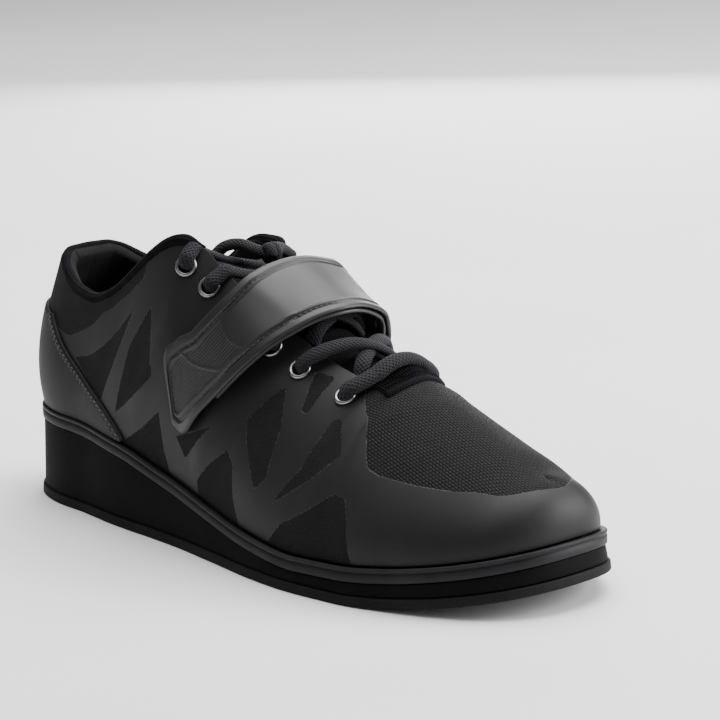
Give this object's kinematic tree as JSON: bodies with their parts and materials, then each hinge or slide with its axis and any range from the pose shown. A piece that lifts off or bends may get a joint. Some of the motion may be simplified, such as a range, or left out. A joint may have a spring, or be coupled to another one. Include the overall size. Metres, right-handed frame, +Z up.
{
  "type": "weightlifting shoe",
  "caption": "Low-cut weightlifting shoe for the right foot: raised wedge heel, flat sole, mesh and film upper, laces and one instep strap through a ring.",
  "frame": {"origin": "on the flat underside of the heel, 18 mm in front of the heel's back, on the heel's middle line", "axes": "+X to the toe, +Y to the medial side, +Z up"},
  "size_m": [0.3, 0.1057, 0.1243],
  "materials": {
    "outsole_rubber": "matt moulded rubber",
    "midsole_foam": "smooth dense foam",
    "rand_rubber": "satin rubber",
    "insole_cloth": "brushed cloth on foam",
    "mesh_cloth": "woven mesh",
    "satin_film": "smooth satin synthetic leather",
    "padded_cloth": "padded knit",
    "lace_cloth": "braided lace",
    "dark_metal": "dark plated metal"
  },
  "bodies": {
    "root": {"outsole": "outsole_rubber", "midsole": "midsole_foam", "rand": "rand_rubber", "insole": "insole_cloth", "upper": "mesh_cloth", "heel_counter": "satin_film", "tongue": "padded_cloth", "strap": "satin_film", "strap_ring": "dark_metal", "ring_tab": "satin_film", "lace_bar": "lace_cloth", "lace_crossing_1": "lace_cloth", "lace_crossing_2": "lace_cloth", "lace_crossing_3": "lace_cloth", "lace_crossing_4": "lace_cloth", "lace_crossing_5": "lace_cloth", "lace_bow": "lace_cloth", "eyelet_lateral_1": "dark_metal", "eyelet_lateral_2": "dark_metal", "eyelet_lateral_3": "dark_metal", "eyelet_lateral_4": "dark_metal", "eyelet_lateral_5": "dark_metal", "eyelet_lateral_6": "dark_metal", "eyelet_medial_1": "dark_metal", "eyelet_medial_2": "dark_metal", "eyelet_medial_3": "dark_metal", "eyelet_medial_4": "dark_metal", "eyelet_medial_5": "dark_metal", "eyelet_medial_6": "dark_metal"}
  },
  "joints": []
}
